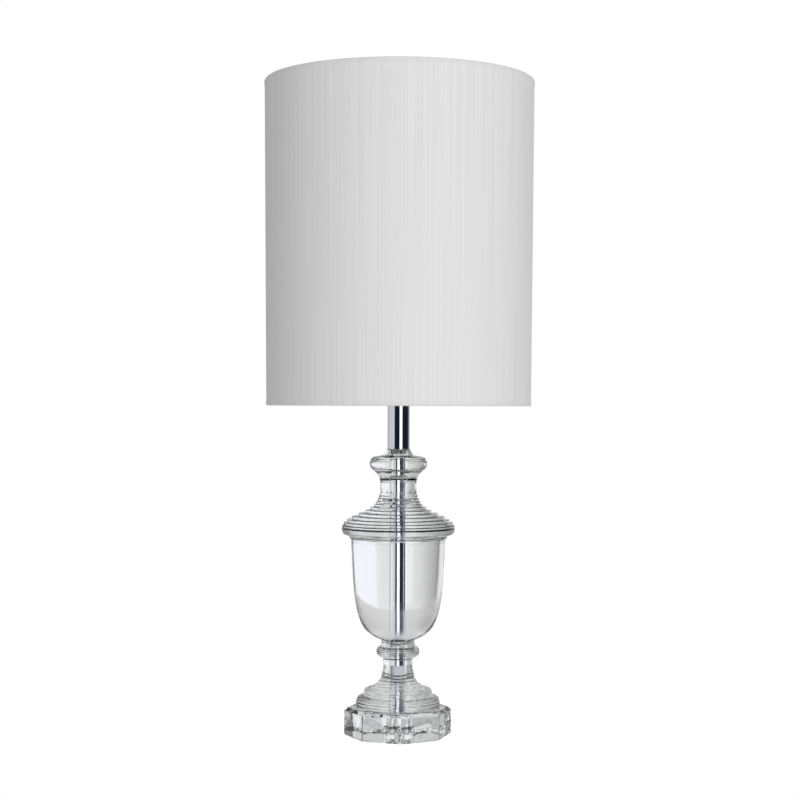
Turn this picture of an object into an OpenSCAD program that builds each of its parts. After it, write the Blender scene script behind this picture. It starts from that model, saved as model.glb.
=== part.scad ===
// Table lamp: a column of turned crystal pieces on an octagonal crystal plinth, held together by one
// hollow tie rod in a chrome sleeve, with a chrome neck tube, an E27 lampholder, an LED bulb and a
// tall drum shade. Units are millimetres, +Z is up, and the origin is on the table, under the axis.

/* [Plinth] */
// Radius of the octagonal plinth at its corners
plinth_r = 60.5; // [54:0.5:75]
// Height of the plinth's top face above the table
plinth_top = 33; // [28:1:45]
// Width of the bevel on every edge of the plinth
plinth_bevel = 2.4; // [1:0.2:4]
// Angle of the plinth's front corner from straight ahead
plinth_turn = 4.6; // [-22:0.2:22]

/* [Crystal column] */
// Radius of the foot's lowest ring
foot_r = 47.6; // [42:0.2:52]
// Radius of the stem at its thinnest
stem_r = 16.2; // [14:0.2:20]
// Radius of the knop between the stem and the bowl
knop_r = 24.2; // [20:0.2:32]
// Radius of the bowl at its top
bowl_r = 53.2; // [45:0.2:60]
// Height of the bowl
bowl_h = 114; // [90:1:140]
// Radius of the lid's rim
rim_r = 63.6; // [56:0.2:75]
// Radius of the lid's neck
neck_r = 20.3; // [18:0.1:26]
// Radius of the knob on top of the column
knob_r = 32.3; // [27:0.1:40]
// Thickness of the clear washer in each joint of the column
washer_t = 0.5; // [0.3:0.1:1.5]

/* [Metalwork] */
// Diameter of the chrome neck tube
tube_d = 25; // [24:0.5:30]
// Length of the chrome neck tube
tube_h = 51.5; // [40:0.5:80]
// Diameter of the chrome sleeve inside the crystal
sleeve_d = 12; // [11:0.1:13]
// Diameter of the bore through the crystal
bore_d = 13; // [12.6:0.1:15]

/* [Shade] */
// Diameter of the shade at its bottom edge
shade_bottom_d = 297; // [260:1:330]
// Diameter of the shade at its top edge
shade_top_d = 303; // [260:1:330]
// Height of the shade
shade_h = 364; // [250:1:400]
// Depth of the shade's hub above the shade's bottom edge
hub_recess = 35; // [25:1:38]
// Diameter of the steel wire rings and arms
wire_d = 3.2; // [2.6:0.2:4]

/* [Hidden] */
$fn = 96;
EPS = 0.01;

// Heights of the joints in the column, from the table up
pad_h = 1.5;
stem_top = plinth_top + 54;
knop_top = stem_top + 21;
bowl_top = knop_top + bowl_h;
lid_top = bowl_top + 68;
knob_top = lid_top + 32;
tube_top = knob_top + washer_t + tube_h;

// Plinth: counterbore for the nut and groove for the cord
pad_r = 5;
pad_circle_r = 45;
pocket_r = 12;
pocket_top = 13.5;
groove_w = 10;
groove_turn = plinth_turn - 22.5;
cord_z = 5.6;
cord_hole_r = 3.2;
bush_l = 9;
plinth_flat = plinth_r * cos(22.5);

// Rings turned on the foot and the lid's shoulder, from below: [share of the radius, height]
foot_rings = [[1, 5.5], [0.985, 6.2], [0.88, 3.2], [0.81, 5.8], [0.63, 3.2], [0.53, 3.2]];
lid_rings = [[0.912, 3.25], [0.833, 3.25], [0.7, 3.25], [0.574, 3.25], [0.487, 3.25], [0.425, 3.25],
    [0.382, 3.25], [0.355, 3.25]];

// Tie rod, nuts and washers
rod_r = 4.95;
rod_bore_r = 3.4;
rod_bottom = 5;
sleeve_bore_r = 5.1;
nut_af = 14;
nut_h = 4;
flat_washer_r = 10;
flat_washer_t = 1.4;
tube_wall = 1;
disc_t = 3;
disc_slack = 0.03;
cap_t = 3;
rod_top = tube_top + cap_t + nut_h + 6;

// Lampholder
holder_z = tube_top + cap_t + nut_h;
cap_h = 17;
shell_z = holder_z + cap_h;
shell_h = 30;
shell_r = 19.6;
shell_wall = 1.6;
insert_r = 17.6;
socket_r = 14.3;
screw_r = 13.8;
screw_wall = 0.35;

// Shade: levels, wall and fitter
shade_z = 371;
shade_top = shade_z + shade_h;
fabric_t = 0.5;
liner_t = 0.5;
glue_t = 0.05;
hem_h = 4.5;
hem_t = 0.4;
wire_r = wire_d / 2;
hub_t = 1.5;
hub_z = shade_z + hub_recess;
hub_hole_r = 20.6;
hub_r = 33;
face_gap = 0.05;
ring_h = 5;
ring_hole_r = 19.95;
ring_r = 28;
arm_bend_r = 58;

// Bulb
bulb_z = 408.5;
bulb_r = 30;
bulb_l = 108;
cap_r = 13.05;
cap_z = bulb_z + 5.5;
cap_l = 19;
neck_z = cap_z + cap_l;
board_z = bulb_z + 59;
dome_z = bulb_z + bulb_l - bulb_r;

// Points of an arc about c, from angle a0 to a1
function arc(c, r, a0, a1, n = 8) =
    [for (i = [0:n]) let (a = a0 + (a1 - a0) * i / n) c + r * [cos(a), sin(a)]];

// Points of a rounded nose that reaches radius r between heights z0 and z1
function nose(r, z0, z1, n = 6) =
    let (h = (z1 - z0) / 2) arc([r - h, z0 + h], h, -88, 88, n);

// One point of the smooth curve through the points p, at t between p[i] and p[i + 1]
function spline_point(p, i, t) =
    let (a = p[max(i - 1, 0)], b = p[i], c = p[i + 1], d = p[min(i + 2, len(p) - 1)])
    0.5 * (2 * b + (c - a) * t + (2 * a - 5 * b + 4 * c - d) * t * t
        + (3 * b - a - 3 * c + d) * t * t * t);

// Smooth curve through the points p, with n steps between neighbours
function smooth(p, n = 5) =
    concat([for (i = [0:len(p) - 2]) for (k = [0:n - 1]) spline_point(p, i, k / n)], [p[len(p) - 1]]);

// Height of the first n rings of a stack
function stack_h(stack, n) = n == 0 ? 0 : stack_h(stack, n - 1) + stack[n - 1][1];

// Outline of a stack of rounded rings that starts at height z, on a piece of radius r
function ring_stack(r, stack, z) = [for (i = [0:len(stack) - 1]) each
    nose(r * stack[i][0], z + stack_h(stack, i), z + stack_h(stack, i + 1), 4)];

// Solid of revolution from an outline of [radius, height] points, bored along the axis
module turned(outline, bore_r) {
    z_low = outline[0][1];
    z_high = outline[len(outline) - 1][1];
    difference() {
        rotate_extrude() polygon(concat([[0, z_low]], outline, [[0, z_high]]));
        translate([0, 0, z_low - 1]) cylinder(r = bore_r, h = z_high - z_low + 2);
    }
}

// Straight ring about the axis
module ring(r_out, r_in, z, h) {
    translate([0, 0, z]) difference() {
        cylinder(r = r_out, h = h);
        translate([0, 0, -1]) cylinder(r = r_in, h = h + 2);
    }
}

// Hexagonal nut about the axis
module nut(across, r_in, z, h) {
    translate([0, 0, z]) difference() {
        cylinder(d = across / cos(30), h = h, $fn = 6);
        translate([0, 0, -1]) cylinder(r = r_in, h = h + 2);
    }
}

// Octagon with its corners cut off, pulled in by inset on every side
module bevelled_octagon(inset) {
    r = plinth_r - inset / cos(22.5);
    step = plinth_bevel * 0.6;
    corner = [for (i = [0:7]) let (a = -90 + plinth_turn + 45 * i) r * [cos(a), sin(a)]];
    polygon([for (i = [0:7]) let (
        here = corner[i],
        back = corner[(i + 7) % 8] - here,
        next = corner[(i + 1) % 8] - here
    ) each [here + step * back / norm(back), here + step * next / norm(next)]]);
}

// Outline of the wall of the shade at height h above its bottom edge
function shade_r(h) = (shade_bottom_d + (shade_top_d - shade_bottom_d) * h / shade_h) / 2;

// Thin tapered shell that follows the shade, between two depths inside its surface
module shade_shell(depth_out, depth_in, h0, h1) {
    rotate_extrude($fn = 180) polygon([
        [shade_r(h0) - depth_in, shade_z + h0], [shade_r(h0) - depth_out, shade_z + h0],
        [shade_r(h1) - depth_out, shade_z + h1], [shade_r(h1) - depth_in, shade_z + h1]]);
}

module feet() {
    color([0.85, 0.88, 0.88, 0.6])
        for (a = [45:90:315]) rotate(a) translate([pad_circle_r, 0, 0])
            cylinder(r1 = pad_r - 0.8, r2 = pad_r, h = pad_h, $fn = 32);
}

module plinth() {
    back_y = plinth_r + 5;
    color([0.86, 0.92, 0.9, 0.4]) difference() {
        hull() {
            translate([0, 0, pad_h]) linear_extrude(plinth_top - pad_h) bevelled_octagon(plinth_bevel);
            translate([0, 0, pad_h + plinth_bevel])
                linear_extrude(plinth_top - pad_h - 2 * plinth_bevel) bevelled_octagon(0);
        }
        cylinder(r = bore_d / 2, h = plinth_top + 1);
        cylinder(r = pocket_r, h = pocket_top);
        rotate(groove_turn) translate([-groove_w / 2, 0, 0]) cube([groove_w, back_y, cord_z]);
        rotate(groove_turn) translate([0, 0, cord_z]) rotate([-90, 0, 0])
            cylinder(d = groove_w, h = back_y, $fn = 48);
    }
}

// Ringed foot that steps up into a concave stem
module foot_stem() {
    z = plinth_top + washer_t;
    ring_top = z + stack_h(foot_rings, len(foot_rings));
    stem = smooth([[stem_r + 6, ring_top], [stem_r + 3.2, ring_top + 5], [stem_r + 1.3, ring_top + 12],
        [stem_r, stem_top - 7], [stem_r + 0.6, stem_top]]);
    color([0.86, 0.92, 0.9, 0.4]) turned(concat(ring_stack(foot_r, foot_rings, z), stem), bore_d / 2);
}

// Rounded knop with a short collar under the bowl
module knop() {
    z = stem_top + washer_t;
    collar_r = stem_r + 2.2;
    collar_z = knop_top - 6;
    outline = concat([[stem_r - 0.6, z]], nose(knop_r, z + 1.8, z + 13.4, 8),
        [[collar_r, collar_z], [collar_r, knop_top]]);
    color([0.86, 0.92, 0.9, 0.4]) turned(outline, bore_d / 2);
}

// Bowl: a solid tapered cup with a rounded underside
module bowl() {
    z = knop_top + washer_t;
    outline = smooth([[bowl_r * 0.36, z], [bowl_r * 0.55, z + bowl_h * 0.05],
        [bowl_r * 0.73, z + bowl_h * 0.127], [bowl_r * 0.845, z + bowl_h * 0.255],
        [bowl_r * 0.91, z + bowl_h * 0.4], [bowl_r * 0.955, z + bowl_h * 0.62],
        [bowl_r, bowl_top]], 6);
    color([0.9, 0.93, 0.93, 0.4]) turned(outline, bore_d / 2);
}

// Lid: a rounded rim, rings that step in over the shoulder, and a waisted neck
module lid() {
    z = bowl_top + washer_t;
    rim_z = z + 3.5;
    rim_h = 14.5;
    ring_z = rim_z + rim_h;
    ring_top = ring_z + stack_h(lid_rings, len(lid_rings));
    neck = smooth([[neck_r + 1.9, ring_top], [neck_r + 0.1, ring_top + 5.5], [neck_r, lid_top - 6],
        [neck_r + 1.6, lid_top]]);
    color([0.88, 0.92, 0.91, 0.4]) turned(concat([[bowl_r + 1.6, z]],
        nose(rim_r, rim_z, rim_z + rim_h, 10), ring_stack(rim_r, lid_rings, ring_z), neck), bore_d / 2);
}

// Knob: a flared lower part, a fat bead, and a shoulder that carries the neck tube
module knob() {
    z = lid_top + washer_t;
    bead_z = z + 7.6;
    bead_h = 16.2;
    shoulder_z = bead_z + bead_h;
    seat_r = tube_d / 2 + 1;
    outline = concat(
        smooth([[neck_r + 1.1, z], [neck_r + 2.3, z + 2.4], [neck_r + 4.1, z + 4.6],
            [knob_r - 7.4, bead_z]]),
        nose(knob_r, bead_z, shoulder_z, 10),
        smooth([[knob_r - 9.7, shoulder_z + 0.4], [seat_r + 4.1, shoulder_z + 1.4],
            [seat_r + 2.5, shoulder_z + 2.8], [seat_r, knob_top]]));
    color([0.86, 0.92, 0.9, 0.4]) turned(outline, bore_d / 2);
}

module clear_washers() {
    seats = [[plinth_top, 43], [stem_top, 14.5], [knop_top, 17], [bowl_top, 50], [lid_top, 20],
        [knob_top, 13.2]];
    color([0.95, 0.97, 0.97, 0.5])
        for (seat = seats) ring(seat[1], bore_d / 2, seat[0], washer_t);
}

module rod_sleeve() {
    z = pocket_top + EPS;
    color([0.75, 0.77, 0.8]) ring(sleeve_d / 2, sleeve_bore_r, z, knob_top + washer_t - z);
}

module tie_rod() {
    color([0.7, 0.66, 0.5]) ring(rod_r, rod_bore_r, rod_bottom, rod_top - rod_bottom);
}

module rubber_washer() {
    color([0.12, 0.12, 0.12]) ring(flat_washer_r, rod_r, pocket_top - flat_washer_t, flat_washer_t);
}

module steel_washer() {
    color([0.7, 0.71, 0.72]) ring(flat_washer_r, rod_r, pocket_top - 2 * flat_washer_t, flat_washer_t);
}

module rod_nut() {
    color([0.8, 0.7, 0.4]) nut(nut_af, rod_r, pocket_top - 2 * flat_washer_t - nut_h, nut_h);
}

// Bush in the mouth of the groove, in a rear face of the plinth, with the hole for the cord
module cord_bush() {
    y = plinth_flat - bush_l;
    slack = 0.1;
    color([0.85, 0.87, 0.87, 0.7]) rotate(groove_turn) difference() {
        union() {
            translate([-groove_w / 2 + slack, y, pad_h])
                cube([groove_w - 2 * slack, bush_l, cord_z - pad_h]);
            translate([0, y, cord_z]) rotate([-90, 0, 0])
                cylinder(r = groove_w / 2 - slack, h = bush_l, $fn = 48);
        }
        translate([0, y - 1, cord_z]) rotate([-90, 0, 0])
            cylinder(r = cord_hole_r, h = bush_l + 2, $fn = 48);
    }
}

module neck_tube() {
    color([0.8, 0.82, 0.85]) ring(tube_d / 2, tube_d / 2 - tube_wall, knob_top + washer_t, tube_h);
}

module neck_base_disc() {
    color([0.8, 0.7, 0.4]) ring(tube_d / 2 - tube_wall - disc_slack, rod_r, knob_top + washer_t, disc_t);
}

module neck_cap() {
    color([0.8, 0.82, 0.85]) {
        ring(tube_d / 2, rod_r, tube_top, cap_t);
        ring(tube_d / 2 - tube_wall - disc_slack, rod_r + 3, tube_top - 4, 4);
    }
}

module lock_nut() {
    color([0.8, 0.7, 0.4]) nut(nut_af, rod_r, tube_top + cap_t, nut_h);
}

// Lower half of the lampholder, screwed on the end of the rod
module holder_cap() {
    wall = 1.8;
    floor_t = 3;
    outer = smooth([[11, holder_z], [14.5, holder_z + 4], [17.8, holder_z + 10],
        [shell_r, shell_z - 2], [shell_r, shell_z]]);
    color([0.93, 0.93, 0.91]) difference() {
        rotate_extrude() polygon(concat([[0, holder_z]], outer, [[0, shell_z]]));
        translate([0, 0, holder_z - 1]) cylinder(r = rod_r, h = floor_t + 2);
        translate([0, 0, holder_z + floor_t])
            cylinder(r1 = 10.5, r2 = insert_r, h = cap_h - floor_t - 4);
        translate([0, 0, shell_z - 4 - EPS]) cylinder(r = insert_r, h = 4 + wall);
    }
}

// Upper half of the lampholder, threaded outside for the shade rings
module holder_shell() {
    color([0.93, 0.93, 0.91]) difference() {
        translate([0, 0, shell_z]) cylinder(r = shell_r, h = shell_h);
        translate([0, 0, shell_z - 1]) cylinder(r = shell_r - shell_wall, h = shell_h - 1);
        translate([0, 0, shell_z]) cylinder(r = socket_r + 0.7, h = shell_h + 1);
    }
}

// Heat-proof insert that carries the contacts
module holder_insert() {
    base_z = shell_z - 2;
    base_t = 9;
    color([0.9, 0.89, 0.85]) difference() {
        translate([0, 0, base_z]) cylinder(r = insert_r, h = shell_h - 1);
        translate([0, 0, base_z + base_t]) cylinder(r = socket_r, h = shell_h);
        for (side = [-1, 1]) translate([side * 9, 0, base_z - 1]) cylinder(r = 2.2, h = 6, $fn = 32);
    }
}

module screw_shell() {
    color([0.85, 0.72, 0.4]) ring(screw_r, screw_r - screw_wall, shell_z + 7 + EPS, 19.5);
}

// Sprung strip that meets the tip of the bulb
module centre_contact() {
    base_z = shell_z + 7 + EPS;
    strip_w = 5;
    strip_t = 0.5;
    color([0.85, 0.72, 0.4]) {
        translate([-9, -strip_w / 2, base_z]) cube([10, strip_w, strip_t]);
        translate([-strip_w, -strip_w / 2, base_z + strip_t])
            cube([strip_t, strip_w, bulb_z - base_z - 2 * strip_t - 0.3]);
        translate([-strip_w, -strip_w / 2, bulb_z - strip_t - 0.3])
            cube([strip_w + 3, strip_w, strip_t]);
    }
}

module terminal_screws() {
    color([0.75, 0.75, 0.72]) for (side = [-1, 1]) translate([side * 9, 0, 0]) difference() {
        union() {
            translate([0, 0, shell_z - 2.6]) cylinder(r = 2, h = 5.4, $fn = 32);
            translate([0, 0, shell_z - 4.4]) cylinder(r = 3, h = 1.8, $fn = 32);
        }
        translate([-4, -0.4, shell_z - 5]) cube([8, 0.8, 1.4]);
    }
}

// Threaded ring with grip notches, one below and one above the shade's hub
module shade_ring(z) {
    notch_n = 24;
    notch_r = 1.2;
    translate([0, 0, z]) difference() {
        cylinder(r = ring_r, h = ring_h);
        translate([0, 0, -1]) cylinder(r = ring_hole_r, h = ring_h + 2);
        for (i = [0:notch_n - 1]) rotate(360 / notch_n * i) translate([ring_r + 0.3, 0, -1])
            cylinder(r = notch_r, h = ring_h + 2, $fn = 16);
    }
}

module lower_shade_ring() {
    color([0.93, 0.93, 0.91]) shade_ring(hub_z - face_gap - ring_h);
}

module upper_shade_ring() {
    color([0.93, 0.93, 0.91]) shade_ring(hub_z + hub_t + face_gap);
}

module shade_hub() {
    color([0.92, 0.92, 0.9]) ring(hub_r, hub_hole_r, hub_z, hub_t);
}

// Straight wire between two points
module wire(from, to) {
    d = to - from;
    translate(from) rotate([0, acos(d[2] / norm(d)), atan2(d[1], d[0])])
        cylinder(r = wire_r, h = norm(d), $fn = 24);
}

module shade_arms() {
    arm_n = 3;
    weld = 0.3;
    start = [ring_r + 0.7, 0, hub_z - wire_r + weld];
    bend = [arm_bend_r, 0, start[2]];
    ring_centre = [shade_r(0) - fabric_t - liner_t - wire_r - 0.2, 0, shade_z + wire_r + 0.8];
    color([0.92, 0.92, 0.9]) for (i = [0:arm_n - 1]) rotate(90 + 360 / arm_n * i) {
        wire(start, bend);
        translate(bend) sphere(r = wire_r, $fn = 24);
        wire(bend, ring_centre - [wire_r, 0, 0]);
    }
}

// Round wire ring in the shade's edge
module wire_ring(h) {
    rotate_extrude($fn = 180)
        translate([shade_r(h) - fabric_t - liner_t - wire_r - 0.2, shade_z + h]) circle(r = wire_r, $fn = 24);
}

module bottom_wire_ring() {
    color([0.92, 0.92, 0.9]) wire_ring(wire_r + 0.8);
}

module top_wire_ring() {
    color([0.92, 0.92, 0.9]) wire_ring(shade_h - wire_r - 0.8);
}

module shade_liner() {
    color([0.97, 0.97, 0.96]) shade_shell(fabric_t + glue_t, fabric_t + liner_t, 0.8, shade_h - 0.8);
}

module shade_fabric() {
    color([0.93, 0.93, 0.92]) shade_shell(0, fabric_t, hem_h, shade_h - hem_h);
}

// Fabric rolled over an edge of the shade and up its inside, with the wire ring in the roll
module hem(edge, inner) {
    away = edge == 0 ? 1 : -1;
    outside = edge + away * hem_h;
    inside = edge + away * inner;
    fold = edge + away * 0.7;
    depth = fabric_t + liner_t + 0.4 + wire_d;
    rotate_extrude($fn = 180) polygon([
        [shade_r(outside) + hem_t, shade_z + outside], [shade_r(edge) + hem_t, shade_z + edge],
        [shade_r(edge) - depth - hem_t, shade_z + edge], [shade_r(inside) - depth - hem_t, shade_z + inside],
        [shade_r(inside) - depth, shade_z + inside], [shade_r(fold) - depth, shade_z + fold],
        [shade_r(fold), shade_z + fold], [shade_r(outside), shade_z + outside]]);
}

module bottom_hem() {
    color([0.88, 0.88, 0.87]) hem(0, 5);
}

module top_hem() {
    color([0.88, 0.88, 0.87]) hem(shade_h, 5);
}

module bulb_contact() {
    color([0.8, 0.8, 0.78]) translate([0, 0, bulb_z]) cylinder(r1 = 3.4, r2 = 4.6, h = 1.5, $fn = 48);
}

module bulb_insulator() {
    z = bulb_z + 1.5;
    color([0.1, 0.1, 0.12]) translate([0, 0, z]) cylinder(r1 = 5.5, r2 = 11.5, h = cap_z - z);
}

module bulb_cap() {
    wall = 0.4;
    color([0.8, 0.8, 0.78]) difference() {
        translate([0, 0, cap_z]) cylinder(r = cap_r, h = cap_l);
        translate([0, 0, cap_z + wall]) cylinder(r = cap_r - wall, h = cap_l);
    }
}

// Tapered white housing, with the cap fixed on a spigot below it
module bulb_housing() {
    wall = 1.4;
    spigot = 8;
    outer = smooth([[cap_r + 0.6, neck_z], [16.8, neck_z + 9], [23, neck_z + 20], [28, board_z]]);
    inner = [for (i = [len(outer) - 1:-1:0]) outer[i] - [wall + 0.4, 0]];
    color([0.95, 0.95, 0.94]) rotate_extrude() polygon(concat(
        [[cap_r - 0.45, neck_z - spigot], [cap_r - 0.45, neck_z]], outer, inner,
        [[cap_r - 0.45 - wall, neck_z - spigot]]));
}

// Opal dome over the light source
module bulb_diffuser() {
    wall = 1.2;
    outer = concat([[28.2, board_z], [29.3, board_z + 3]],
        arc([0, dome_z], bulb_r, -15, 90, 24));
    inner = concat([[0, dome_z + bulb_r - wall]],
        arc([0, dome_z], bulb_r - wall, 89, -15, 24), [[28.2 - wall, board_z]]);
    color([0.97, 0.97, 0.95]) rotate_extrude() polygon(concat(outer, inner));
}

module led_board() {
    led_n = 10;
    led_circle_r = 16;
    led_size = 2.8;
    board_t = 1.2;
    color([0.9, 0.9, 0.85]) translate([0, 0, board_z + EPS]) union() {
        cylinder(r = 25, h = board_t);
        for (i = [0:led_n - 1]) rotate(360 / led_n * i)
            translate([led_circle_r - led_size / 2, -led_size / 2, board_t])
                translate([0, 0, -0.1]) cube([led_size, led_size, 0.8]);
    }
}

module driver_board() {
    color([0.25, 0.45, 0.3]) translate([0, 0, cap_z + 4]) union() {
        translate([-8, -0.6, 0]) cube([16, 1.2, board_z - cap_z - 5]);
        translate([0, 4, 22]) cylinder(r = 3.5, h = 12, $fn = 32);
        translate([-2.5, 0.5, 24]) cube([5, 1.5, 8]);
        translate([-4, -5, 8]) cube([8, 4.5, 8]);
    }
}

feet();
plinth();
foot_stem();
knop();
bowl();
lid();
knob();
clear_washers();
rod_sleeve();
tie_rod();
rubber_washer();
steel_washer();
rod_nut();
cord_bush();
neck_tube();
neck_base_disc();
neck_cap();
lock_nut();
holder_cap();
holder_shell();
holder_insert();
screw_shell();
centre_contact();
terminal_screws();
lower_shade_ring();
upper_shade_ring();
shade_hub();
shade_arms();
bottom_wire_ring();
top_wire_ring();
shade_liner();
shade_fabric();
bottom_hem();
top_hem();
bulb_contact();
bulb_insulator();
bulb_cap();
bulb_housing();
bulb_diffuser();
led_board();
driver_board();
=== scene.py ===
import math

import bpy
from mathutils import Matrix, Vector


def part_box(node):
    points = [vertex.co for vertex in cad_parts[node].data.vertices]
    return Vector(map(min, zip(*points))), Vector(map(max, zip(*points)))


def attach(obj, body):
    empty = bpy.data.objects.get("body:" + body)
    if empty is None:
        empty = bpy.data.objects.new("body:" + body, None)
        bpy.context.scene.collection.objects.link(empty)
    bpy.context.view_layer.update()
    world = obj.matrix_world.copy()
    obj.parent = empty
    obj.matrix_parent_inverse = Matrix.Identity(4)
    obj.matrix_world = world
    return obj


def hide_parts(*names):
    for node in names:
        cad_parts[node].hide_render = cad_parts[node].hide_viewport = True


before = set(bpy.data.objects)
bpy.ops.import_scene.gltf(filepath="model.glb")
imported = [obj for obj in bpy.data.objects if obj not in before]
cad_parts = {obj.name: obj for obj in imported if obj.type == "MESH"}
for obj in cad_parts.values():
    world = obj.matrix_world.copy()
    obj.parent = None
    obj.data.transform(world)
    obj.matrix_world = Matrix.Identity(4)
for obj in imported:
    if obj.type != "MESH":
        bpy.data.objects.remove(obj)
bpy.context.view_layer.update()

MM = 0.001

# Camera: level with the shade's bottom edge, two metres in front of the lamp, with a long lens. It
# looks up by a fifth of a degree and rolls by as little.
CAMERA_DISTANCE = 2.0
CAMERA_HEIGHT = 0.371
CAMERA_LENS = 80
CAMERA_RISE = math.radians(0.19)
CAMERA_ROLL = math.radians(-0.17)
camera_data = bpy.data.cameras.new("camera")
camera_data.lens = CAMERA_LENS
camera_data.clip_end = 50
camera = bpy.data.objects.new("camera", camera_data)
camera.location = (0.0015, -CAMERA_DISTANCE, CAMERA_HEIGHT)
camera.rotation_mode = "ZXY"
camera.rotation_euler = (math.radians(90) + CAMERA_RISE, CAMERA_ROLL, 0)
bpy.context.scene.collection.objects.link(camera)
bpy.context.scene.camera = camera

# Studio: a pale floor, one large soft lamp, and white all round for the eye. Polished surfaces mirror a
# room of pale and dark panels, and crystal bends light in from a second such room. Panels are given as
# (degrees from the front, left negative; grey or colour).
KEY_TURN = math.radians(20)
KEY_POWER = 29
KEY_SIZE = 1.6
KEY_DISTANCE = 2.4
KEY_HEIGHT = 0.75
FLOOR_R = 0.45
AMBIENT = (0.455, 0.455, 0.459)
NAVY = (0.010, 0.014, 0.026)
SLATE = (0.10, 0.11, 0.13)
MIRRORED = [(-180, 0.6), (-150, 0.5), (-126, 0.5), (-110, 0.66), (-60, 0.66), (-50, 0.8), (-43, 0.35),
            (-38, NAVY), (9, NAVY), (16, 2.0), (34, 2.0), (41, NAVY), (105, NAVY), (122, 0.12),
            (135, 0.35), (150, 0.65), (180, 0.75)]
# what the crystal bends into view: near the level of the eye, then higher up, down and overhead
BENT_LEVEL = [(-180, 0.80), (-168, 0.77), (-155, 0.66), (-147, 0.56), (-136, 0.46), (-130, 0.28),
              (-125, 0.75), (-100, 0.9), (-60, 0.8), (-47, 0.6), (-43, NAVY), (-20, NAVY), (-16, 1.6),
              (20, 1.6), (26, NAVY), (111, NAVY), (114, (0.93, 0.94, 1.0)), (159, (0.9, 0.91, 0.97)),
              (161, 0.78), (180, 0.77)]
BENT_HIGH = [(-180, 0.7), (-160, 0.62), (-145, 0.48), (-130, 0.5), (-115, 0.75), (-60, 0.75),
             (-46, 0.6), (-43, SLATE), (-20, SLATE), (-16, 1.4), (20, 1.4), (26, SLATE), (88, SLATE),
             (96, 0.5), (160, 0.66), (180, 0.7)]
BENT_DOWN = [(-180, 1.0), (-162, 1.0), (-158, 0.3), (-142, 0.3), (-135, 0.55), (-125, NAVY), (-100, NAVY),
             (-95, 0.6), (0, 0.7), (60, 0.55), (110, 0.5), (130, 0.6), (133, 1.0), (148.2, 1.0),
             (149, 0.38), (158, 0.38), (165, 0.7), (170, 1.0), (180, 1.0)]
BENT_OVERHEAD = (0.74, 0.75, 0.76)
bpy.context.scene.view_settings.view_transform = "Standard"


def node_tools(tree):
    """Short ways to add a node and to join two sockets in one node tree."""
    def add(kind, **values):
        node = tree.nodes.new(kind)
        for key, value in values.items():
            setattr(node, key, value)
        return node

    def join(source, target):
        tree.links.new(source, target)
    return add, join


def ramp_stops(ramp, stops):
    """Fills a colour ramp with (place, grey or colour) stops."""
    while len(ramp.elements) > 1:
        ramp.elements.remove(ramp.elements[-1])
    for index, (place, colour) in enumerate(stops):
        stop = ramp.elements[0] if index == 0 else ramp.elements.new(place)
        stop.position = place
        stop.color = (*colour, 1) if hasattr(colour, "__len__") else (colour, colour, colour, 1)


def studio_world():
    """White to the eye, an even light on matt surfaces, and rooms of panels in mirrors and crystal."""
    world = bpy.data.worlds.new("studio")
    world.use_nodes = True
    tree = world.node_tree
    tree.nodes.clear()
    add, join = node_tools(tree)
    place = add("ShaderNodeTexCoord")
    axes = add("ShaderNodeSeparateXYZ")
    join(place.outputs["Generated"], axes.inputs[0])
    ahead = add("ShaderNodeMath", operation="MULTIPLY")
    ahead.inputs[1].default_value = -1
    join(axes.outputs["Y"], ahead.inputs[0])
    bearing = add("ShaderNodeMath", operation="ARCTAN2")
    join(axes.outputs["X"], bearing.inputs[0])
    join(ahead.outputs[0], bearing.inputs[1])
    share = add("ShaderNodeMapRange")
    share.inputs["From Min"].default_value = -math.pi
    share.inputs["From Max"].default_value = math.pi
    join(bearing.outputs[0], share.inputs["Value"])

    def walls(panels):
        """Panels round the room, as (degrees from the camera, left negative; grey or colour)."""
        ramp = add("ShaderNodeValToRGB")
        ramp_stops(ramp.color_ramp, [((degrees + 180) / 360, value) for degrees, value in panels])
        join(share.outputs[0], ramp.inputs[0])
        return ramp.outputs[0]

    def above(level, spread, lower, upper):
        """One look below a level of the view's rise, and another above it."""
        rise = add("ShaderNodeMapRange", interpolation_type="SMOOTHSTEP")
        rise.inputs["From Min"].default_value = level - spread
        rise.inputs["From Max"].default_value = level + spread
        join(axes.outputs["Z"], rise.inputs["Value"])
        mix = add("ShaderNodeMix", data_type="RGBA")
        join(rise.outputs[0], mix.inputs["Factor"])
        join(lower, mix.inputs["A"])
        join(upper, mix.inputs["B"])
        return mix.outputs["Result"]

    def tint(value):
        colour = add("ShaderNodeRGB")
        colour.outputs[0].default_value = (*value, 1)
        return colour.outputs[0]

    mirrored = above(0.67, 0.13, walls(MIRRORED), tint((0.9, 0.9, 0.92)))
    bent = above(-0.16, 0.04, walls(BENT_DOWN), above(
        0.085, 0.012, walls(BENT_LEVEL), above(0.55, 0.2, walls(BENT_HIGH), tint(BENT_OVERHEAD))))
    path = add("ShaderNodeLightPath")
    light = tint(AMBIENT)
    for kind, room in (("Is Glossy Ray", mirrored), ("Is Transmission Ray", bent)):
        choose = add("ShaderNodeMix", data_type="RGBA")
        join(path.outputs[kind], choose.inputs["Factor"])
        join(light, choose.inputs["A"])
        join(room, choose.inputs["B"])
        light = choose.outputs["Result"]
    seen = add("ShaderNodeMix", data_type="RGBA")
    seen.inputs["B"].default_value = (1, 1, 1, 1)
    join(path.outputs["Is Camera Ray"], seen.inputs["Factor"])
    join(light, seen.inputs["A"])
    background = add("ShaderNodeBackground")
    join(seen.outputs["Result"], background.inputs["Color"])
    join(background.outputs[0], add("ShaderNodeOutputWorld").inputs["Surface"])
    return world


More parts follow.
